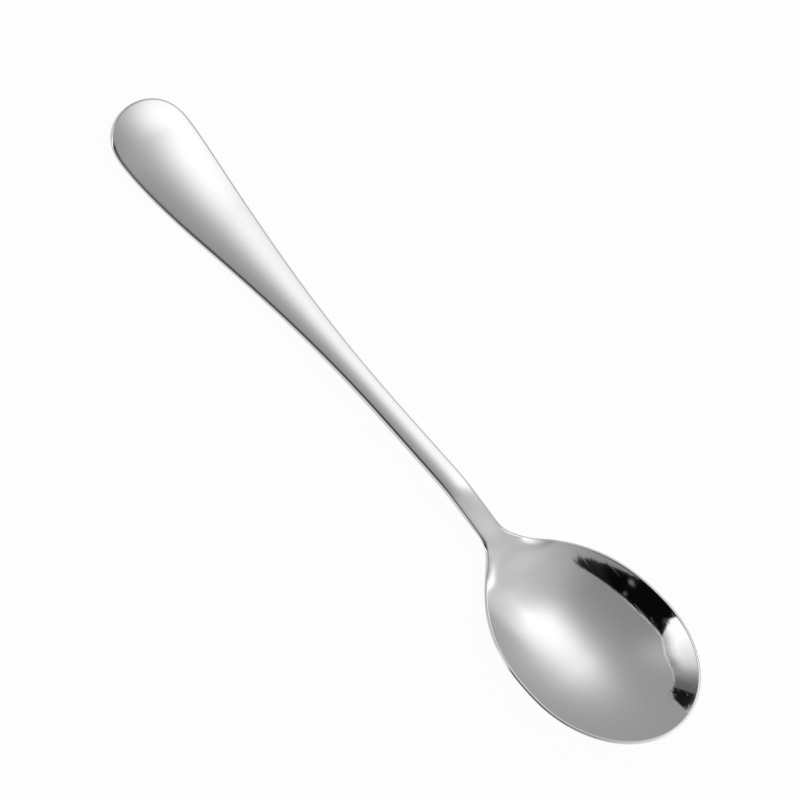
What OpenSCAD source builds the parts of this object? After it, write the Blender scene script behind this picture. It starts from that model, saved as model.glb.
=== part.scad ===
// Soup spoon, pressed from one piece of stainless sheet.
// The spoon is one mid sheet that is thickened to both sides. x runs from the
// handle's end to the tip of the bowl, y across, z up. Places along the spoon
// are distances from the handle's end until the whole is centred at the foot.

/* [Handle] */
// Length of the handle, from its end to the neck
handle_l = 143.9; // [125:0.1:160]
// Greatest width of the handle, close to its end
handle_w = 21.5; // [16:0.1:28]
// Length of the rounded end, from the end to the widest place
round_l = 11.9; // [9:0.1:16]
// Thickness at the edge of the broad part
handle_t = 1.8; // [1.4:0.1:3]
// Width of the stem at its narrowest
stem_w = 6.2; // [4.8:0.1:9]
// Distance of the narrowest place from the handle's end
stem_at = 106; // [90:0.5:118]
// Thickness at the edge of the stem
stem_t = 2.4; // [1.8:0.1:4]
// How far the rounded edge reaches out from the flat of the handle
edge_l = 1; // [0.4:0.05:1.4]
// Length of the end that curls up
curl_l = 37.5; // [18:0.5:50]
// Height that the curl adds at the very end
curl_h = 5.9; // [0:0.1:12]
// Rise of the straight stretch, from the curl to the bend before the neck
stem_rise = 5.1; // [2:0.1:12]

/* [Neck] */
// Distance from the bend at the top of the stem to the neck
bend_lead = 18.1; // [12:0.1:24]
// Length of that rounded bend
bend_l = 10.1; // [5:0.1:18]
// Drop from the bend to the lowest place of the rim, behind the neck
neck_drop = 3.15; // [0:0.05:6]
// Distance from the neck to that lowest place
low_lag = 1.2; // [0:0.1:6]
// Length of the rounded low place
low_l = 12.8; // [6:0.1:20]
// Length of the smooth concave corners between the stem and the bowl
fillet_l = 12; // [6:0.1:20]
// Length of stem before the neck where the crown of the handle begins to fade
fade_lead = 13.1; // [6:0.1:20]
// Length over which that crown fades out
fade_l = 14.5; // [6:0.5:20]
// Length of stem before the neck where the hollow begins
hollow_lead = 8.5; // [6:0.1:18]
// Length of bowl behind the neck where the hollow is fully formed
hollow_run = 10.2; // [6:0.1:20]
// Distance from the neck to the middle of the edges that roll over beside it
roll_lag = 3.4; // [1:0.1:7]
// Length of those rolled edges
roll_l = 8; // [6:0.1:12]
// Drop of their outermost line
roll_h = 0.45; // [0:0.05:0.8]

/* [Bowl] */
// Length of the bowl, from the neck to its tip
bowl_l = 61.1; // [52:0.1:75]
// Greatest width of the bowl
bowl_w = 41.5; // [34:0.1:50]
// Length of the bowl's nose, from its widest place to its tip
nose_l = 26.5; // [20:0.1:34]
// Depth of the mid sheet below the line of the rim
bowl_depth = 7.1; // [4:0.1:14]
// Rise of the rim from its lowest place to the tip
rim_rise = 10.4; // [3:0.1:16]
// Thickness of the bowl
bowl_t = 0.9; // [0.7:0.1:2]
// How far the rounded rim reaches out
rim_l = 0.4; // [0.3:0.05:1]

/* [Hidden] */

// Height of the handle's crowned top over half its width
crown_share = 0.144;
// Part of that crown that the hollowed underside follows
under_share = 0.5;
// Part of the wall's slope that the bowl loses next to the rim
ease_share = 0.11;
// Powers of the curves: the rounded end, the flare of the handle at the stem and
// at the broad part, the shoulders of the bowl at the neck and at the widest
// place, and the edge's section
blunt_power = 2.61;
flare_power = 2.28;
flare_end_power = 1.63;
shoulder_power = 0.88;
shoulder_end_power = 2.37;
edge_power = 1.7;
// Power of the rise of the rolled edges, from the middle line outwards
roll_power = 6;
// Angle that spreads the points across a section, closest near the rim
spread_angle = 75;
// Small length for slopes, as a part of the thickness
probe = handle_t / 500;

// The mid sheet stops short of the outline by the reach of its edges
overall_l = handle_l + bowl_l;
sheet_start = edge_l;
sheet_end = overall_l - rim_l;
handle_half = handle_w / 2 - edge_l;
stem_half = stem_w / 2 - edge_l;
bowl_half = bowl_w / 2 - rim_l;

// Places along the spoon
neck_at = handle_l;
widest_at = overall_l - nose_l;
bend_at = neck_at - bend_lead;
low_at = neck_at + low_lag;
fade_at = neck_at - fade_lead;
hollow_at = neck_at - hollow_lead;
hollow_full_at = neck_at + hollow_run;
roll_at = neck_at + roll_lag;
// Where the shoulders end and the back of the bowl begins
shoulder_end_share = 0.6;
back_at = neck_at + shoulder_end_share * (widest_at - neck_at);

// Slopes of the sheet's edge: up the stem, down to the low place, up the rim
stem_slope = stem_rise / (bend_at - curl_l);
drop_slope = neck_drop / (low_at - bend_at);
rim_slope = rim_rise / (overall_l - low_at);

// Steps along the rounded end, handle, neck with shoulders, back of the bowl and nose
round_steps = 9;
handle_steps = 20;
neck_steps = 30;
back_steps = 10;
nose_steps = 14;
// Steps across a face and round an edge
face_steps = 16;
edge_steps = 6;

function clip(t) = min(max(t, 0), 1);

// Rise from 0 to 1 with its own power at each end
function ease(t, start, finish) = 1 - pow(1 - pow(clip(t), start), finish);

// Rise from 0 to 1 that starts and ends level, with no jump in curvature
function smooth(t) =
    let (c = clip(t))
    c * c * c * (10 - 15 * c + 6 * c * c);

// 0 before -half_l and u after half_l, with a rounded bend between
function turn(u, half_l) =
    let (c = clip((u + half_l) / (2 * half_l)))
    half_l * c * c * c * (2 - c) + max(u - half_l, 0);

function unit(v) = v / norm(v);

// Half width of the mid sheet, before its two ends are rounded
function flank(x) =
    let (back = (stem_at - x) / (stem_at - round_l))
    let (front = turn(x - neck_at, fillet_l / 2) / (widest_at - neck_at))
    let (flare = ease(back, flare_power, flare_end_power))
    let (shoulder = ease(front, shoulder_power, shoulder_end_power))
    stem_half + (handle_half - stem_half) * flare + (bowl_half - stem_half) * shoulder;

// Square of the mid sheet's half width, negative past its ends
function half_sq(x) =
    let (back = max((round_l - x) / (round_l - sheet_start), 0))
    let (front = max((x - widest_at) / (sheet_end - widest_at), 0))
    pow(flank(x), 2) * (1 - pow(back, blunt_power)) * (1 - pow(front, 2));

// Height of the mid sheet's edge: a straight stem with its curl, a rounded bend
// down before the neck and another one up behind it
function edge_z(x) =
    let (curl = clip((curl_l - x) / curl_l))
    stem_slope * (x - curl_l) + curl_h * curl * curl
    - (stem_slope + drop_slope) * turn(x - bend_at, bend_l / 2)
    + (drop_slope + rim_slope) * turn(x - low_at, low_l / 2);

// 0 on the handle and 1 in the bowl
function hollow(x) = smooth((x - hollow_at) / (hollow_full_at - hollow_at));

// Crown of the handle's top, which fades out before the bowl
function crown_z(x, y) =
    crown_share * (half_sq(x) - y * y) / flank(x) * (1 - smooth((x - fade_at) / fade_l));

// Depth of the bowl below its rim
function dish_z(x, y) =
    let (inside = (half_sq(x) - y * y) / pow(bowl_half, 2))
    bowl_depth * hollow(x) * inside * (1 - ease_share + ease_share * inside);

// 1 in the middle of the rolled edges and 0 past their ends
function rolled(x) =
    let (c = clip(1 - pow(2 * (x - roll_at) / roll_l, 2)))
    c * c * c;

// Drop of the edges that roll over beside the neck
function roll_z(x, y) = roll_h * rolled(x) * pow(abs(y) / flank(x), roll_power);

// The sheet follows the crown half way between the top and the underside
function mid_z(x, y) =
    edge_z(x) + crown_z(x, y) * (1 + under_share) / 2 - dish_z(x, y) - roll_z(x, y);

// Half the thickness, measured square to the mid sheet
function half_t(x, y) =
    let (thick = smooth((x - curl_l) / (stem_at - curl_l)))
    let (thin = smooth((x - bend_at) / (hollow_full_at - bend_at)))
    let (edge_t = handle_t + (stem_t - handle_t) * thick + (bowl_t - stem_t) * thin)
    edge_t / 2 + crown_z(x, y) * (1 - under_share) / 2;

function edge_reach(x) = edge_l + (rim_l - edge_l) * hollow(x);

function slope_x(x, y) = (mid_z(x + probe, y) - mid_z(x - probe, y)) / (2 * probe);
function slope_y(x, y) = (mid_z(x, y + probe) - mid_z(x, y - probe)) / (2 * probe);
function up_at(x, y) = unit([-slope_x(x, y), -slope_y(x, y), 1]);

// Point on the top face (side 1) or the bottom face (side -1)
function face_point(x, y, side) =
    [x, y, mid_z(x, y)] + side * half_t(x, y) * up_at(x, y);

// Point on the rounded edge of one side, at an angle above its outermost line
function edge_point(x, side, angle) =
    let (y = side * sqrt(max(half_sq(x), 0)))
    let (narrowing = (half_sq(x - probe) - half_sq(x + probe)) / (2 * probe))
    let (flat_out = unit([narrowing, 2 * y]))
    let (climb = slope_x(x, y) * flat_out[0] + slope_y(x, y) * flat_out[1])
    let (out = unit([flat_out[0], flat_out[1], climb]))
    let (reach = edge_reach(x) * pow(cos(angle), 2 / edge_power))
    let (rise = half_t(x, y) * sign(angle) * pow(abs(sin(angle)), 2 / edge_power))
    [x, y, mid_z(x, y)] + reach * out + rise * up_at(x, y);

// Share of the half width at a step across a face
function across(step) = sin(spread_angle * (2 * step / face_steps - 1)) / sin(spread_angle);
function edge_angle(step) = 90 - 180 * step / edge_steps;

// One closed section: top face, right edge, bottom face, left edge
function section(x) =
    let (half = sqrt(max(half_sq(x), 0)))
    [
        for (step = [0 : face_steps]) face_point(x, half * across(step), 1),
        for (step = [1 : edge_steps - 1]) edge_point(x, 1, edge_angle(step)),
        for (step = [0 : face_steps]) face_point(x, -half * across(step), -1),
        for (step = [1 : edge_steps - 1]) edge_point(x, -1, -edge_angle(step))
    ];

// Places of the sections, closest together at the two ends and at the neck
stations = [
    for (step = [0 : round_steps - 1])
        round_l - (round_l - sheet_start) * cos(90 * step / round_steps),
    for (step = [0 : handle_steps - 1])
        round_l + (bend_at - round_l) * step / handle_steps,
    for (step = [0 : neck_steps - 1])
        bend_at + (back_at - bend_at) * step / neck_steps,
    for (step = [0 : back_steps - 1])
        back_at + (widest_at - back_at) * step / back_steps,
    for (step = [0 : nose_steps])
        widest_at + (sheet_end - widest_at) * sin(90 * step / nose_steps)
];
last = len(stations) - 1;
points = [for (x = stations) each section(x)];
around = 2 * (face_steps + edge_steps);

// Index of a point, where the sections at the two ends close to one line
function closed(spot) =
    spot <= face_steps ? 0
    : spot < face_steps + edge_steps ? spot
    : spot <= 2 * face_steps + edge_steps ? face_steps + edge_steps
    : around + face_steps - spot;
function index(place, spot) =
    let (turned = spot % around)
    place * around + (place == 0 || place == last ? closed(turned) : turned);

function is_face(f) = f[0] != f[1] && f[1] != f[2] && f[2] != f[0];

faces = [
    for (place = [0 : last - 1])
        for (spot = [0 : around - 1])
            let (a = index(place, spot))
            let (b = index(place, spot + 1))
            let (c = index(place + 1, spot + 1))
            let (d = index(place + 1, spot))
            for (f = [[a, b, c], [a, c, d]])
                if (is_face(f)) f
];

// Lowest point of the whole, which rests at height 0
foot = min([for (p = points) p[2]]);

// The whole spoon, handle, neck and bowl in one piece
module spoon() {
    color("silver")
        translate([-overall_l / 2, 0, -foot])
            polyhedron(points = points, faces = faces, convexity = 6);
}

spoon();
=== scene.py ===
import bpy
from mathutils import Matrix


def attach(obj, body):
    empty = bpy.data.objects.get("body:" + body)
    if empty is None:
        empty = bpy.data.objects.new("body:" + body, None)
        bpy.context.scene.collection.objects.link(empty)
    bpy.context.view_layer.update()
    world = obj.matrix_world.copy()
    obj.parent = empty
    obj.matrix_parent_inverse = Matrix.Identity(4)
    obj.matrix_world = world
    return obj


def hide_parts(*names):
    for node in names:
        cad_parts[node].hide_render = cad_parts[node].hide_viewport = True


bl_info = {
    "name": "Soup spoon",
    "version": (1, 0, 0),
    "blender": (4, 5, 0),
    "location": "3D View > Sidebar > Spoon",
    "description": "Makes a polished steel soup spoon and the plain studio it lies in",
    "category": "Object",
}

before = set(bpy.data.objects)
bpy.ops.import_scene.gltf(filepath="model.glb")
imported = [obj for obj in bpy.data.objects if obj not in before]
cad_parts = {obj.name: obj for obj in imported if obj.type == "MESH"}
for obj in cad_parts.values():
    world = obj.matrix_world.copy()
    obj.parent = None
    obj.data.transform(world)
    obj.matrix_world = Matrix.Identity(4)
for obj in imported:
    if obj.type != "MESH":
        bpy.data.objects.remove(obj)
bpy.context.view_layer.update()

import math

import bpy
import numpy as np
from mathutils import Matrix, Vector

NODE = "spoon"
MM = 0.001
WHITE = (1.0, 1.0, 1.0, 1.0)
# Parts of the handle's thickness over which slopes are measured
PROBE_PARTS = 500


def length(name, description, millimetres):
    """A length of the spoon, stored in metres."""
    return bpy.props.FloatProperty(
        name=name, description=description, default=millimetres * MM, unit="LENGTH", precision=5
    )


def share(name, description, value, top=1.0):
    """A number that is a part of another size."""
    return bpy.props.FloatProperty(
        name=name, description=description, default=value, min=0.0, max=top, subtype="FACTOR"
    )


def number(name, description, value, low=0.0, high=100.0):
    """A plain number, such as a power or a strength."""
    return bpy.props.FloatProperty(
        name=name, description=description, default=value, min=low, max=high
    )


class SpoonShape(bpy.types.PropertyGroup):
    """Sizes of the spoon. Places along it are distances from the handle's end."""

    handle_l: length("Handle length", "From the handle's end to the neck", 143.9)
    handle_w: length("Handle width", "Greatest width, close to the end", 21.5)
    round_l: length("Rounded end", "From the end to the widest place", 11.9)
    handle_t: length("Handle edge", "Thickness at the edge of the broad part", 1.8)
    stem_w: length("Stem width", "Width at the narrowest place", 6.2)
    stem_at: length("Stem place", "Distance of the narrowest place", 106)
    stem_t: length("Stem edge", "Thickness at the edge of the stem", 2.4)
    edge_l: length("Edge reach", "How far the rounded edge reaches out", 1)
    curl_l: length("Curl length", "Length of the end that curls up", 37.5)
    curl_h: length("Curl height", "Height that the curl adds at the end", 5.9)
    stem_rise: length("Stem rise", "Rise from the curl to the bend", 5.1)
    bend_lead: length("Bend lead", "From the bend at the stem's top to the neck", 18.1)
    bend_l: length("Bend length", "Length of that rounded bend", 10.1)
    neck_drop: length("Neck drop", "Drop from the bend to the low place", 3.15)
    low_lag: length("Low lag", "From the neck to the lowest place of the rim", 1.2)
    low_l: length("Low length", "Length of that rounded low place", 12.8)
    fade_lead: length("Fade lead", "Stem where the crown begins to fade", 13.1)
    fade_l: length("Fade length", "Length over which the crown fades", 14.5)
    hollow_lead: length("Hollow lead", "Stem where the hollow begins", 8.5)
    hollow_run: length("Hollow run", "Bowl where the hollow fills out", 10.2)
    fillet_l: length("Fillet length", "Length of the concave corners at the neck", 12)
    roll_lag: length("Roll lag", "From the neck to the middle of the rolled edges", 3.4)
    roll_l: length("Roll length", "Length of the rolled edges beside the neck", 8)
    roll_h: length("Roll drop", "Drop of the outermost edge where it rolls over", 0.45)
    bowl_l: length("Bowl length", "From the neck to the tip", 61.1)
    bowl_w: length("Bowl width", "Greatest width of the bowl", 41.5)
    nose_l: length("Nose length", "From the widest place to the tip", 26.5)
    bowl_depth: length("Bowl depth", "Depth of the mid sheet", 7.1)
    rim_rise: length("Rim rise", "Rise of the rim from the low place to the tip", 10.4)
    bowl_t: length("Bowl thickness", "Thickness of the bowl", 0.9)
    rim_l: length("Rim reach", "How far the rounded rim reaches out", 0.4)
    crown: share("Crown", "Height of the handle's top over half its width", 0.144)
    under: share("Underside", "Part of the crown that the underside follows", 0.5)
    ease: share("Rim ease", "Part of the wall's slope that is lost at the rim", 0.11)
    blunt: number("Blunt end", "Power of the handle's rounded end", 2.61)
    flare: number("Flare", "Power of the flare at the stem", 2.28)
    flare_end: number("Flare end", "Power of the flare at the broad end", 1.63)
    shoulder: number("Shoulder", "Power of the bowl's shoulders", 0.88)
    shoulder_end: number("Shoulder end", "Power of their end at the widest place", 2.37)
    roll_power: number("Roll power", "Power of the rolled edges' rise across", 6)
    edge_power: number("Edge section", "Power of the rounded edge", 1.7)
    fineness: bpy.props.IntProperty(
        name="Fineness", description="Multiplies the steps along the spoon", default=5, min=1
    )
    face_steps: bpy.props.IntProperty(
        name="Face steps", description="Steps across a face", default=72, min=4
    )
    edge_steps: bpy.props.IntProperty(
        name="Edge steps", description="Steps round an edge", default=16, min=4
    )


class SpoonFinish(bpy.types.PropertyGroup):
    """Polished stainless steel."""

    steel: bpy.props.FloatVectorProperty(
        name="Steel", description="Colour of the polished steel", subtype="COLOR",
        default=(0.70, 0.70, 0.70), min=0.0, max=1.0,
    )
    gloss: share("Roughness", "Roughness of the clean polish", 0.045)
    haze: share("Haze", "Roughness that the duller patches add", 0.03)
    grain_depth: length("Grain depth", "Depth of the lengthwise polishing lines", 0.00025)
    scratch_depth: length("Scratch depth", "Depth of the stray hairline scratches", 0.001)


class StudioLight(bpy.types.PropertyGroup):
    """Soft light round the spoon. Strength 1 renders as white on a white thing."""

    tent: number("Tent", "Strength of the even light from all sides", 0.42)
    soft: number("Soft light", "Strength of the broad soft light", 1.03)
    side: number("Side light", "Strength of the light beyond the tip", 0.61)
    floor: share("Floor", "Paleness of the floor", 0.96)


class SpoonScene(bpy.types.PropertyGroup):
    """All that the user can change."""

    shape: bpy.props.PointerProperty(type=SpoonShape)
    finish: bpy.props.PointerProperty(type=SpoonFinish)
    light: bpy.props.PointerProperty(type=StudioLight)


def clip(t):
    return np.clip(t, 0.0, 1.0)


def ease(t, start, finish):
    """Rise from 0 to 1: one less (1 less t to the start power) to the finish power."""
    return 1 - (1 - clip(t) ** start) ** finish


def smooth(t):
    """Rise from 0 to 1 that starts and ends level: 10 t^3 less 15 t^4 plus 6 t^5."""
    c = clip(t)
    return c ** 3 * (10 - 15 * c + 6 * c * c)


def turn(u, half_l):
    """0 before -half_l and u after half_l, with a rounded bend between: half_l c^3 (2 - c)."""
    c = clip((u + half_l) / (2 * half_l))
    return half_l * c ** 3 * (2 - c) + np.maximum(u - half_l, 0)


def unit(v):
    return v / np.linalg.norm(v, axis=-1, keepdims=True)


class Sheet:
    """The mid sheet of the spoon and the faces and edges that thicken it to both sides."""

    def __init__(self, s):
        self.s = s
        self.overall = s.handle_l + s.bowl_l
        self.start = s.edge_l
        self.end = self.overall - s.rim_l
        self.handle_half = s.handle_w / 2 - s.edge_l
        self.stem_half = s.stem_w / 2 - s.edge_l
        self.bowl_half = s.bowl_w / 2 - s.rim_l
        self.widest_at = self.overall - s.nose_l
        self.bend_at = s.handle_l - s.bend_lead
        self.low_at = s.handle_l + s.low_lag
        self.fade_at = s.handle_l - s.fade_lead
        self.roll_at = s.handle_l + s.roll_lag
        self.hollow_at = s.handle_l - s.hollow_lead
        self.full_at = s.handle_l + s.hollow_run
        self.stem_slope = s.stem_rise / (self.bend_at - s.curl_l)
        self.drop_slope = s.neck_drop / (self.low_at - self.bend_at)
        self.rim_slope = s.rim_rise / (self.overall - self.low_at)
        self.probe = s.handle_t / PROBE_PARTS

    def flank(self, x):
        """Half width before the ends are rounded: the stem's, plus the eased flare of the
        handle towards its end, plus the eased shoulders towards the bowl's widest place."""
        s = self.s
        back = (s.stem_at - x) / (s.stem_at - s.round_l)
        front = turn(x - s.handle_l, s.fillet_l / 2) / (self.widest_at - s.handle_l)
        flare = ease(back, s.flare, s.flare_end)
        shoulder = ease(front, s.shoulder, s.shoulder_end)
        return (
            self.stem_half
            + (self.handle_half - self.stem_half) * flare
            + (self.bowl_half - self.stem_half) * shoulder
        )

    def half_sq(self, x):
        """Square of the half width: the flank squared, times 1 less a power of the share of
        the way into the rounded end, times 1 less the square of the share of the nose."""
        s = self.s
        back = np.maximum((s.round_l - x) / (s.round_l - self.start), 0)
        front = np.maximum((x - self.widest_at) / (self.end - self.widest_at), 0)
        return self.flank(x) ** 2 * (1 - back ** s.blunt) * (1 - front ** 2)

    def edge_z(self, x):
        """Height of the sheet's edge: a straight stem, plus the squared curl of the end, with
        a rounded bend down before the neck and one up behind it, along the rim to the tip."""
        s = self.s
        curl = clip((s.curl_l - x) / s.curl_l)
        down = turn(x - self.bend_at, s.bend_l / 2)
        up = turn(x - self.low_at, s.low_l / 2)
        return (
            self.stem_slope * (x - s.curl_l)
            + s.curl_h * curl ** 2
            - (self.stem_slope + self.drop_slope) * down
            + (self.drop_slope + self.rim_slope) * up
        )

    def hollow(self, x):
        """0 on the handle and 1 in the bowl."""
        return smooth((x - self.hollow_at) / (self.full_at - self.hollow_at))

    def crown_z(self, x, y):
        """Crown of the handle's top: a parabola across, fading out before the neck."""
        s = self.s
        rise = s.crown * (self.half_sq(x) - y * y) / self.flank(x)
        return rise * (1 - smooth((x - self.fade_at) / s.fade_l))

    def dish_z(self, x, y):
        """Depth below the rim: with i the squared distance inside the outline over the
        squared half width of the bowl, the depth times i (1 - ease + ease i)."""
        s = self.s
        inside = (self.half_sq(x) - y * y) / self.bowl_half ** 2
        return s.bowl_depth * self.hollow(x) * inside * (1 - s.ease + s.ease * inside)

    def roll_z(self, x, y):
        """Drop of the edges that roll over beside the neck: (1 - u^2)^3 along, with u the way
        from the middle of the roll to its end, times a power of the share across."""
        s = self.s
        along = clip(1 - (2 * (x - self.roll_at) / s.roll_l) ** 2) ** 3
        return s.roll_h * along * np.abs(y / self.flank(x)) ** s.roll_power

    def mid_z(self, x, y):
        """The sheet follows the crown half way between the top and the underside."""
        crown = self.crown_z(x, y) * (1 + self.s.under) / 2
        return self.edge_z(x) + crown - self.dish_z(x, y) - self.roll_z(x, y)

    def half_t(self, x, y):
        """Half the thickness: it blends from the handle to the stem to the bowl, and swells
        with the part of the crown that the underside doesn't follow."""
        s = self.s
        thick = smooth((x - s.curl_l) / (s.stem_at - s.curl_l))
        thin = smooth((x - self.bend_at) / (self.full_at - self.bend_at))
        edge = s.handle_t + (s.stem_t - s.handle_t) * thick + (s.bowl_t - s.stem_t) * thin
        return edge / 2 + self.crown_z(x, y) * (1 - s.under) / 2

    def slopes(self, x, y):
        """Slopes of the mid sheet along and across, by central differences."""
        p = self.probe
        along = (self.mid_z(x + p, y) - self.mid_z(x - p, y)) / (2 * p)
        across = (self.mid_z(x, y + p) - self.mid_z(x, y - p)) / (2 * p)
        return along, across

    def up(self, x, y):
        along, across = self.slopes(x, y)
        return unit(np.stack([-along, -across, np.ones_like(along)], -1))

    def face(self, x, y, side):
        """Points of the top (side 1) or bottom (side -1): half the thickness off the sheet."""
        mid = np.stack([x, y, self.mid_z(x, y)], -1)
        return mid + side * self.half_t(x, y)[..., None] * self.up(x, y)

    def edge(self, x, side, angle):
        """Points of the rounded edge: a superellipse that starts square to the outline, with
        the edge's reach outwards and half the thickness upwards, at an angle above it."""
        s = self.s
        p = self.probe
        y = side * np.sqrt(np.maximum(self.half_sq(x), 0))
        narrowing = (self.half_sq(x - p) - self.half_sq(x + p)) / (2 * p)
        flat = unit(np.stack([narrowing, 2 * y], -1))
        along, across = self.slopes(x, y)
        climb = along * flat[..., 0] + across * flat[..., 1]
        out = unit(np.stack([flat[..., 0], flat[..., 1], climb], -1))
        reach = s.edge_l + (s.rim_l - s.edge_l) * self.hollow(x)
        reach = reach * np.abs(np.cos(angle)) ** (2 / s.edge_power)
        rise = self.half_t(x, y) * np.sign(angle) * np.abs(np.sin(angle)) ** (2 / s.edge_power)
        mid = np.stack([x, y, self.mid_z(x, y)], -1)
        return mid + reach[..., None] * out + rise[..., None] * self.up(x, y)


# Steps along the rounded end, handle, neck with shoulders, back of the bowl and nose
STEPS = (9, 20, 22, 10, 14)
# Share of the way from the neck to the widest place where the shoulders end
SHOULDER_END = 0.6
# Angle that spreads the points across a face, closest near the rim
SPREAD = math.radians(75)


def stations(sheet):
    """Places of the sections: evenly spaced, but closing up to both ends as a sine does."""
    s = sheet.s
    round_n, handle_n, neck_n, back_n, nose_n = (n * s.fineness for n in STEPS)
    back_at = s.handle_l + SHOULDER_END * (sheet.widest_at - s.handle_l)

    def even(low, high, n):
        return low + (high - low) * np.arange(n) / n

    quarter = np.pi / 2
    return np.concatenate([
        s.round_l - (s.round_l - sheet.start) * np.cos(even(0, quarter, round_n)),
        even(s.round_l, sheet.bend_at, handle_n),
        even(sheet.bend_at, back_at, neck_n),
        even(back_at, sheet.widest_at, back_n),
        sheet.widest_at
        + (sheet.end - sheet.widest_at) * np.sin(quarter * np.arange(nose_n + 1) / nose_n),
    ])


def spoon_sections(sheet):
    """Closed sections as an array (place, spot, xyz): top face, right edge, bottom face, left
    edge. Across a face the points lie at the sine of evenly spaced angles."""
    s = sheet.s
    x = stations(sheet)[:, None]
    half = np.sqrt(np.maximum(sheet.half_sq(x), 0))
    across = np.sin(SPREAD * np.linspace(-1, 1, s.face_steps + 1)) / np.sin(SPREAD)
    angle = (np.pi / 2 - np.pi * np.arange(1, s.edge_steps) / s.edge_steps)[None]
    wide = np.broadcast_to(x, (len(x), len(across)))
    narrow = np.broadcast_to(x, (len(x), angle.size))
    angle = np.broadcast_to(angle, narrow.shape)
    return np.concatenate([
        sheet.face(wide, half * across, 1),
        sheet.edge(narrow, 1, angle),
        sheet.face(wide, -half * across, -1),
        sheet.edge(narrow, -1, -angle),
    ], axis=1)


def close_ends(places, s):
    """Index of each grid point, where the sections at the two ends close to one line."""
    face, edge = s.face_steps, s.edge_steps
    around = 2 * (face + edge)
    spot = np.arange(around)
    line = np.where(spot <= face, 0, spot)
    line = np.where((spot >= face + edge) & (spot <= 2 * face + edge), face + edge, line)
    line = np.where(spot > 2 * face + edge, around + face - spot, line)
    index = np.arange(places)[:, None] * around + spot[None]
    index[0] = line
    index[-1] = (places - 1) * around + line
    return index


def grid_mesh(name, points, index):
    """A mesh of the quads between neighbouring sections, round and round, where a quad that
    closes to a triangle drops its doubled corner and one that closes to a line is left out."""
    a, d = index[:-1], index[1:]
    b, c = np.roll(a, -1, axis=1), np.roll(d, -1, axis=1)
    quads = np.stack([a, d, c, b], -1).reshape(-1, 4)
    same = quads == np.roll(quads, -1, axis=1)
    faces = quads[~same.any(axis=1)].tolist()
    for corner in range(4):
        closed = same[:, corner] & (same.sum(axis=1) == 1)
        faces += np.delete(quads[closed], corner, axis=1).tolist()
    used, flat = np.unique(np.concatenate([np.array(f) for f in faces]), return_inverse=True)
    sizes = np.array([len(f) for f in faces])
    mesh = bpy.data.meshes.new(name)
    mesh.vertices.add(len(used))
    mesh.vertices.foreach_set("co", points.reshape(-1, 3)[used].astype(np.float32).ravel())
    mesh.loops.add(len(flat))
    mesh.loops.foreach_set("vertex_index", flat.astype(np.int32))
    mesh.polygons.add(len(sizes))
    starts = np.concatenate([[0], np.cumsum(sizes)[:-1]])
    mesh.polygons.foreach_set("loop_start", starts.astype(np.int32))
    mesh.polygons.foreach_set("use_smooth", np.ones(len(sizes), bool))
    mesh.update(calc_edges=True)
    mesh.validate()
    return mesh


class Nodes:
    """Short calls that add nodes to a tree and join them."""

    def __init__(self, tree):
        self.tree = tree
        tree.nodes.clear()

    def add(self, kind, inputs=(), **settings):
        """A node with its settings, and inputs by name or place: values, or sockets to join."""
        node = self.tree.nodes.new(kind)
        for key, value in settings.items():
            setattr(node, key, value)
        for key, value in dict(inputs).items():
            if isinstance(value, bpy.types.NodeSocket):
                self.tree.links.new(value, node.inputs[key])
            else:
                node.inputs[key].default_value = value
        return node

    def math(self, operation, a, b=0.0, c=0.0):
        return self.add("ShaderNodeMath", {0: a, 1: b, 2: c}, operation=operation).outputs[0]

    def ramp(self, value, low, high, to_low=0.0, to_high=1.0):
        """Value from low to high becomes a smooth step from to_low to to_high."""
        ends = {"From Min": low, "From Max": high, "To Min": to_low, "To Max": to_high}
        node = self.add(
            "ShaderNodeMapRange", {"Value": value, **ends}, interpolation_type="SMOOTHSTEP"
        )
        return node.outputs["Result"]

    def mix(self, share, a, b):
        """a at share 0 and b at share 1."""
        node = self.add("ShaderNodeMix", {0: share, 2: a, 3: b}, data_type="FLOAT")
        return node.outputs[0]

    def levels(self, value, stops):
        """Straight lines through (value, level) stops, and level beyond the two ends."""
        low, high = stops[0][0], stops[-1][0]
        top = max(level for _, level in stops)
        place = self.add("ShaderNodeMapRange", {"Value": value, "From Min": low, "From Max": high})
        node = self.add("ShaderNodeValToRGB", {0: place.outputs["Result"]})
        elements = node.color_ramp.elements
        while len(elements) < len(stops):
            elements.new(1.0)
        for element, (at, level) in zip(elements, stops):
            element.position = (at - low) / (high - low)
            element.color = (level / top,) * 3 + (1.0,)
        return self.math("MULTIPLY", node.outputs["Color"], top)


# The steel's noises: their scales along and across the spoon in steps to the metre, the angles
# of the hairlines in degrees, and the levels of noise between which hairlines and patches rise
LINE_SCALE = (40, 3200, 3200)
HAIR_SCALE = (60, 1500, 1500)
HAIR_ANGLES = (17, -28, 71)
HAIR_RISE = (0.74, 0.78)
PATCH_SCALE = (60, 90, 90)
PATCH_RISE = (0.45, 0.75)


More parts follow.
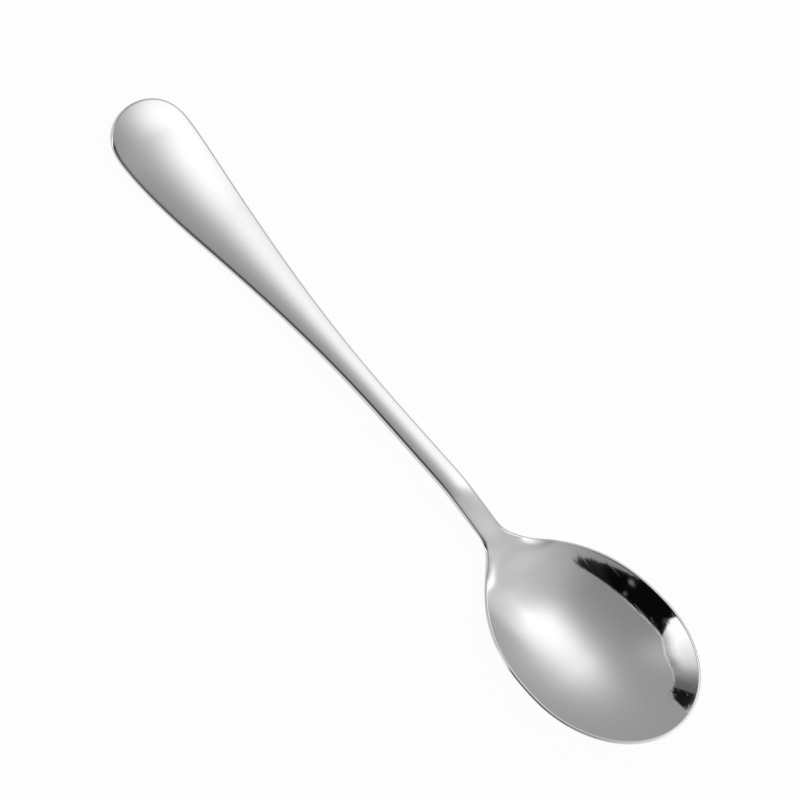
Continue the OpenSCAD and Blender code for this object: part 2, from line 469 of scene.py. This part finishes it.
def steel_material(finish):
    """Polished steel: fine lines along the spoon, stray hairlines and slightly duller patches."""
    material = bpy.data.materials.new("polished_steel")
    material.use_nodes = True
    n = Nodes(material.node_tree)
    place = n.add("ShaderNodeTexCoord").outputs["Object"]

    def stretched(scale, rotation=(0, 0, 0), **inputs):
        """Noise on the object, drawn out by a different scale along each axis."""
        at = n.add("ShaderNodeMapping", {"Vector": place, "Scale": scale, "Rotation": rotation})
        noise = n.add("ShaderNodeTexNoise", {"Vector": at.outputs[0], "Scale": 1.0, **inputs})
        return noise.outputs["Fac"]

    # Lengthwise polishing lines, about a third of a millimetre apart
    lines = stretched(LINE_SCALE, Detail=3.0, Roughness=0.6)
    # Stray hairlines at a few angles: the thin crests of stretched noise
    hairs = None
    for degrees in HAIR_ANGLES:
        crest = stretched(HAIR_SCALE, (0, 0, math.radians(degrees)), Detail=0.0)
        thin = n.ramp(crest, *HAIR_RISE)
        hairs = thin if hairs is None else n.math("MAXIMUM", hairs, thin)
    # Duller patches, some centimetres across
    dull = n.ramp(stretched(PATCH_SCALE, Detail=2.0), *PATCH_RISE)

    rough = n.math("MULTIPLY_ADD", dull, finish.haze, finish.gloss)
    rough = n.math("MULTIPLY_ADD", hairs, finish.haze, rough)
    bump = n.add(
        "ShaderNodeBump", {"Strength": 1.0, "Distance": finish.grain_depth, "Height": lines}
    )
    bump = n.add("ShaderNodeBump", {
        "Strength": 1.0, "Distance": finish.scratch_depth, "Height": hairs,
        "Normal": bump.outputs[0],
    }, invert=True)
    steel = n.add("ShaderNodeBsdfPrincipled", {
        "Base Color": (*finish.steel, 1.0), "Metallic": 1.0, "Roughness": rough,
        "Normal": bump.outputs[0],
    })
    n.add("ShaderNodeOutputMaterial", {"Surface": steel.outputs[0]})
    return material


# Shares of the floor that are plain white, to the camera and to mirror and glass rays
WHITE_SEEN = 0.95
WHITE_MIRRORED = 0.6


def floor_material(light):
    """A pale floor. The camera sees most of it as plain white, and mirror and glass rays see
    a part of it so. The rest keeps the spoon's shadow."""
    material = bpy.data.materials.new("pale_floor")
    material.use_nodes = True
    n = Nodes(material.node_tree)
    path = n.add("ShaderNodeLightPath").outputs
    mirrored = n.math("MAXIMUM", path["Is Glossy Ray"], path["Is Transmission Ray"])
    mirrored = n.math("MULTIPLY", mirrored, WHITE_MIRRORED)
    seen = n.math("MULTIPLY", path["Is Camera Ray"], WHITE_SEEN)
    seen = n.math("MAXIMUM", seen, mirrored)
    plain = n.add("ShaderNodeBsdfDiffuse", {"Color": (light.floor,) * 3 + (1.0,)})
    white = n.add("ShaderNodeEmission", {"Color": WHITE, "Strength": 1.0})
    both = n.add("ShaderNodeMixShader", {0: seen, 1: plain.outputs[0], 2: white.outputs[0]})
    n.add("ShaderNodeOutputMaterial", {"Surface": both.outputs[0]})
    return material


# The light tent. All places and widths are degrees, as the class Sky gives them. A spot is its
# middle, its widths to the west, east, south and north, and the power of its fall.
SOFT_LIGHT = (-7, 37.5, 31, 11.3, 26, 31.5, 2.35)
# Spots and what they add: the soft light ends more sharply low down and is widest half way up,
# and the cloth glows beside the front
TENT_SPOTS = (
    ((-4, 67, 12, 12, 7, 12, 2), -0.25),
    ((0, 44, 5, 5, 8, 6, 2), 0.22),
    ((-48, -20, 11, 11, 13, 13, 2), 0.2),
)
# The brighter side beyond the bowl's tip, in two parts: where each begins and is full
SIDE_EAST = ((-9, 34), (34, 60))
SIDE_NORTH = ((-65, -30), (-10, 20))
# Where the tent begins to be dimmer towards the south and is dimmest, and by how much
DIM_NORTH = (5, -30)
DIM_BY = 0.08

# The tent's open front: the middle of its ring, the ring's radius by the turn round that middle,
# and the light that shows past it by the turn: a dark gap, a pale card that fades to one side,
# and the dark room
FRONT_PLACE = (-21.5, 12.1)
FRONT_RING = (
    (-12, 52), (-3, 48), (1, 46), (5, 42.8), (12, 41.3), (18, 41.3), (26, 41.3), (34, 41),
    (42, 40.7), (50, 40.6), (58, 42), (65, 43.3), (75, 43.5), (85, 43.2), (95, 42.7),
    (105, 42), (115, 41.4), (125, 40.6), (140, 40),
)
FRONT_THINGS = (
    (-6, 0.40), (-1.5, 0.30), (-1, 0.01), (17, 0.01), (17.5, 0.15), (24, 0.18), (29, 0.28),
    (34.5, 0.47), (40, 0.78), (46, 1.1), (52, 1.42), (64.7, 1.42), (65, 0.003), (98, 0.003),
    (108, 0.02), (170, 0.02),
)
# Half width of the ring's soft edge
RING_SOFT = 0.12
# How uneven the ring, the things and the room's end are: grain, and degrees to both sides
RING_WOBBLE = (45, 0.2)
THINGS_WOBBLE = (40, 0.5)
END_WOBBLE = (50, 1.2)
# The things lean by this turn for each degree past the ring, up to a distance, from no lean at
# the first turn to all of it at the second
LEAN = -1.5
LEAN_PAST = 6
LEAN_TURNS = (40, 62)
# The card is dimmer by this share at the ring, and less so up to a distance past it. The dimming
# sets in between the two turns.
CARD_DIM = 0.6
CARD_PAST = (0, 4.5)
CARD_TURNS = (30, 42)
# A pale strip beyond the card and the gap: its level, how far out it begins at two turns, its
# soft edge, and the turns where it fades out
STRIP = 0.65
STRIP_TURNS = (15, 55)
STRIP_FAR = (46.4, 53)
STRIP_SOFT = (-0.2, 0.6)
STRIP_END = (66, 62)
# Two small pale things in the dark room, and how much paler the room is low down, with the
# distances past the ring where that begins and is full
ROOM_SPOTS = (
    ((-17.6, -37.2, 1.6, 1, 0.8, 0.8, 3), 0.2),
    ((-18.8, -32.4, 0.7, 0.7, 0.9, 0.9, 3), 0.14),
)
ROOM_LOW = 0.12
ROOM_PAST = (14, 28)
# The turns between which the room ends. Its end slants by the distance past the ring, up to a
# limit, times (curve times that distance, plus slant), and far out by only a share of that.
END_TURN = (128.2, 128.8)
END_CURVE = 0.3
END_SLANT = 1.2
END_PAST = 9
END_FAR = (12, 25)
END_LESS = 0.6
# The hem of the tent's cloth, a thin bright line inside the ring, and the turns between which
# it fades out at its two ends
HEM = 0.42
HEM_PAST = (-0.7, -0.35)
HEM_START = (5, 60)
HEM_END = (96, 86)


class Sky(Nodes):
    """Nodes of a world. The place of a direction is given in degrees from straight up: east is
    towards +X and north towards +Y, so the zenith is (0, 0) and the horizon a circle of 90."""

    def __init__(self, tree):
        super().__init__(tree)
        self.way = self.add("ShaderNodeTexCoord").outputs["Generated"]
        parts = self.add("ShaderNodeSeparateXYZ", {0: self.way}).outputs
        tilt = self.math("MULTIPLY", self.math("ARCCOSINE", parts["Z"]), math.degrees(1))
        flat = self.math("SUBTRACT", 1.0, self.math("POWER", parts["Z"], 2.0))
        flat = self.math("POWER", flat, 0.5)
        self.east = self.math("MULTIPLY", tilt, self.math("DIVIDE", parts["X"], flat))
        self.north = self.math("MULTIPLY", tilt, self.math("DIVIDE", parts["Y"], flat))

    def away_sq(self, place, middle, below, above):
        """Square of the distance from a middle, in its width on that side."""
        off = self.math("SUBTRACT", place, middle)
        low, high = self.math("DIVIDE", off, -below), self.math("DIVIDE", off, above)
        return self.math("POWER", self.math("MAXIMUM", low, high), 2.0)

    def spot(self, x, y, to_west, to_east, to_south, to_north, power):
        """A soft spot: e to the minus of the distance from (x, y), in its widths, to a power."""
        away = self.math(
            "ADD", self.away_sq(self.east, x, to_west, to_east),
            self.away_sq(self.north, y, to_south, to_north),
        )
        fall = self.math("POWER", away, power / 2)
        return self.math("EXPONENT", self.math("MULTIPLY", fall, -1.0))

    def add_spots(self, level, spots):
        for spot, strength in spots:
            level = self.math("MULTIPLY_ADD", self.spot(*spot), strength, level)
        return level

    def wobble(self, grain, most):
        """Uneven shift by direction, up to about most degrees to both sides."""
        noise = self.add("ShaderNodeTexNoise", {"Vector": self.way, "Scale": grain, "Detail": 2.0})
        return self.math("MULTIPLY_ADD", noise.outputs["Fac"], 4 * most, -2 * most)


def tent_glow(n, light):
    """The tent's even light, its broad soft light, its brighter side and its dimmer side."""
    glow = n.math("MULTIPLY_ADD", n.spot(*SOFT_LIGHT), light.soft, light.tent)
    glow = n.add_spots(glow, TENT_SPOTS)
    for to_east, to_north in zip(SIDE_EAST, SIDE_NORTH):
        part = n.math("MULTIPLY", n.ramp(n.east, *to_east), n.ramp(n.north, *to_north))
        glow = n.math("MULTIPLY_ADD", part, light.side, glow)
    return n.math("MULTIPLY_ADD", n.ramp(n.north, *DIM_NORTH), -DIM_BY, glow)


def open_front(n, glow):
    """The glow with the open front in it, which lies past an uneven ring round its place. The
    turn round that place goes from straight towards -X at 0 through -Y at 90."""
    x = n.math("SUBTRACT", FRONT_PLACE[0], n.east)
    y = n.math("SUBTRACT", FRONT_PLACE[1], n.north)
    far = n.math("POWER", n.math("ADD", n.math("POWER", x, 2.0), n.math("POWER", y, 2.0)), 0.5)
    angle = n.math("MULTIPLY", n.math("ARCTAN2", y, x), math.degrees(1))
    past = n.math("SUBTRACT", far, n.levels(angle, FRONT_RING))
    past = n.math("ADD", past, n.wobble(*RING_WOBBLE))

    lean = n.math("MINIMUM", past, LEAN_PAST)
    lean = n.math("MULTIPLY", lean, n.ramp(angle, *LEAN_TURNS, 0.0, LEAN))
    leaning = n.math("ADD", n.math("ADD", angle, lean), n.wobble(*THINGS_WOBBLE))
    things = n.levels(leaning, FRONT_THINGS)
    dim = n.math("MULTIPLY", n.ramp(angle, *CARD_TURNS), n.ramp(past, *CARD_PAST, CARD_DIM, 0.0))
    things = n.math("MULTIPLY", things, n.math("SUBTRACT", 1.0, dim))
    strip = n.math("SUBTRACT", far, n.ramp(angle, *STRIP_TURNS, *STRIP_FAR))
    strip = n.math("MULTIPLY", n.ramp(strip, *STRIP_SOFT), n.ramp(angle, *STRIP_END))
    things = n.mix(strip, things, STRIP)
    things = n.add_spots(things, ROOM_SPOTS)
    things = n.math("MULTIPLY_ADD", n.ramp(past, *ROOM_PAST), ROOM_LOW, things)

    near = n.math("MINIMUM", past, END_PAST)
    slant = n.math("MULTIPLY", near, n.math("MULTIPLY_ADD", near, END_CURVE, END_SLANT))
    slant = n.math("MULTIPLY", slant, n.ramp(past, *END_FAR, 1.0, END_LESS))
    end = n.math("ADD", n.math("ADD", angle, slant), n.wobble(*END_WOBBLE))
    sector = n.math("GREATER_THAN", leaning, FRONT_THINGS[0][0])
    sector = n.math("MULTIPLY", n.ramp(end, *END_TURN, 1.0, 0.0), sector)
    outside = n.math("MULTIPLY", n.ramp(past, -RING_SOFT, RING_SOFT), sector)

    hem = n.math("MULTIPLY", n.ramp(past, *HEM_PAST), n.ramp(angle, *HEM_END))
    hem = n.math("MULTIPLY", hem, n.ramp(angle, *HEM_START))
    glow = n.math("MULTIPLY_ADD", hem, HEM, glow)
    return n.mix(outside, glow, things)


def studio_world(light):
    """A light tent by direction, with an open front. A camera that looks past the floor sees
    white."""
    world = bpy.data.worlds.new("light_tent")
    world.use_nodes = True
    n = Sky(world.node_tree)
    glow = open_front(n, tent_glow(n, light))
    seen = n.add("ShaderNodeLightPath").outputs["Is Camera Ray"]
    sky = n.add("ShaderNodeBackground", {"Color": WHITE, "Strength": n.mix(seen, glow, 1.0)})
    n.add("ShaderNodeOutputWorld", {"Surface": sky.outputs[0]})
    return world


class SPOON_OT_make_spoon(bpy.types.Operator):
    """Make the spoon, one piece of polished steel"""

    bl_idname = "spoon.make_spoon"
    bl_label = "Spoon"

    def execute(self, context):
        settings = context.scene.spoon
        sheet = Sheet(settings.shape)
        points = spoon_sections(sheet)
        points[..., 0] -= sheet.overall / 2
        points[..., 2] -= points[..., 2].min()
        mesh = grid_mesh("polished_spoon", points, close_ends(len(points), settings.shape))
        mesh.materials.append(steel_material(settings.finish))
        piece = bpy.data.objects.new("polished_spoon", mesh)
        context.scene.collection.objects.link(piece)
        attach(piece, "root")
        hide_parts(NODE)
        return {"FINISHED"}


# The camera looks at the spoon from this side, height and tilt
CAMERA_AZIMUTH = math.radians(31.77)
CAMERA_HEIGHT = math.radians(66)
CAMERA_ROLL = math.radians(20)
CAMERA_AWAY = 0.9
CAMERA_LENS = 168.0
CAMERA_REACH = 30.0
# Where it aims: a height over the floor's middle, then a little right and up in the picture
AIM_HEIGHT = 1.12 * MM
AIM_RIGHT = 2.38 * MM
AIM_UP = 4.97 * MM
FLOOR_HALF = 3.0


class SPOON_OT_make_stage(bpy.types.Operator):
    """Make the floor, the soft light and the camera"""

    bl_idname = "spoon.make_stage"
    bl_label = "Stage"

    def execute(self, context):
        light = context.scene.spoon.light
        corners = [(x * FLOOR_HALF, y * FLOOR_HALF, 0) for x, y in
                   ((-1, -1), (1, -1), (1, 1), (-1, 1))]
        mesh = bpy.data.meshes.new("floor")
        mesh.from_pydata(corners, [], [(0, 1, 2, 3)])
        mesh.materials.append(floor_material(light))
        floor = bpy.data.objects.new("floor", mesh)
        context.scene.collection.objects.link(floor)
        context.scene.world = studio_world(light)
        self.make_camera(context)
        context.scene.view_settings.view_transform = "Standard"
        return {"FINISHED"}

    def make_camera(self, context):
        """A camera at an azimuth and height that looks at the spoon, rolled about its axis."""
        flat = math.cos(CAMERA_HEIGHT)
        back = Vector((
            math.sin(CAMERA_AZIMUTH) * flat, -math.cos(CAMERA_AZIMUTH) * flat,
            math.sin(CAMERA_HEIGHT),
        ))
        level = Vector((math.cos(CAMERA_AZIMUTH), math.sin(CAMERA_AZIMUTH), 0))
        right = Matrix.Rotation(CAMERA_ROLL, 3, back) @ level
        up = back.cross(right)
        data = bpy.data.cameras.new("camera")
        data.lens = CAMERA_LENS
        data.clip_end = CAMERA_REACH
        camera = bpy.data.objects.new("camera", data)
        aim = Vector((0, 0, AIM_HEIGHT)) + AIM_RIGHT * right + AIM_UP * up
        facing = Matrix((right, up, back)).transposed().to_4x4()
        camera.matrix_world = Matrix.Translation(aim + CAMERA_AWAY * back) @ facing
        context.scene.collection.objects.link(camera)
        context.scene.camera = camera


class SPOON_PT_panel(bpy.types.Panel):
    """The spoon's operators and settings"""

    bl_idname = "SPOON_PT_panel"
    bl_label = "Soup spoon"
    bl_space_type = "VIEW_3D"
    bl_region_type = "UI"
    bl_category = "Spoon"

    def draw(self, context):
        layout = self.layout
        for operator in (SPOON_OT_make_spoon, SPOON_OT_make_stage):
            layout.operator(operator.bl_idname, text=operator.bl_label)
        settings = context.scene.spoon
        for group in (settings.shape, settings.finish, settings.light):
            box = layout.box()
            for key in group.__annotations__:
                box.prop(group, key)


CLASSES = (
    SpoonShape, SpoonFinish, StudioLight, SpoonScene,
    SPOON_OT_make_spoon, SPOON_OT_make_stage, SPOON_PT_panel,
)


def register():
    for each in CLASSES:
        bpy.utils.register_class(each)
    bpy.types.Scene.spoon = bpy.props.PointerProperty(type=SpoonScene)


def unregister():
    del bpy.types.Scene.spoon
    for each in reversed(CLASSES):
        bpy.utils.unregister_class(each)


def main():
    register()
    bpy.ops.spoon.make_spoon()
    bpy.ops.spoon.make_stage()


if __name__ == "__main__":
    main()
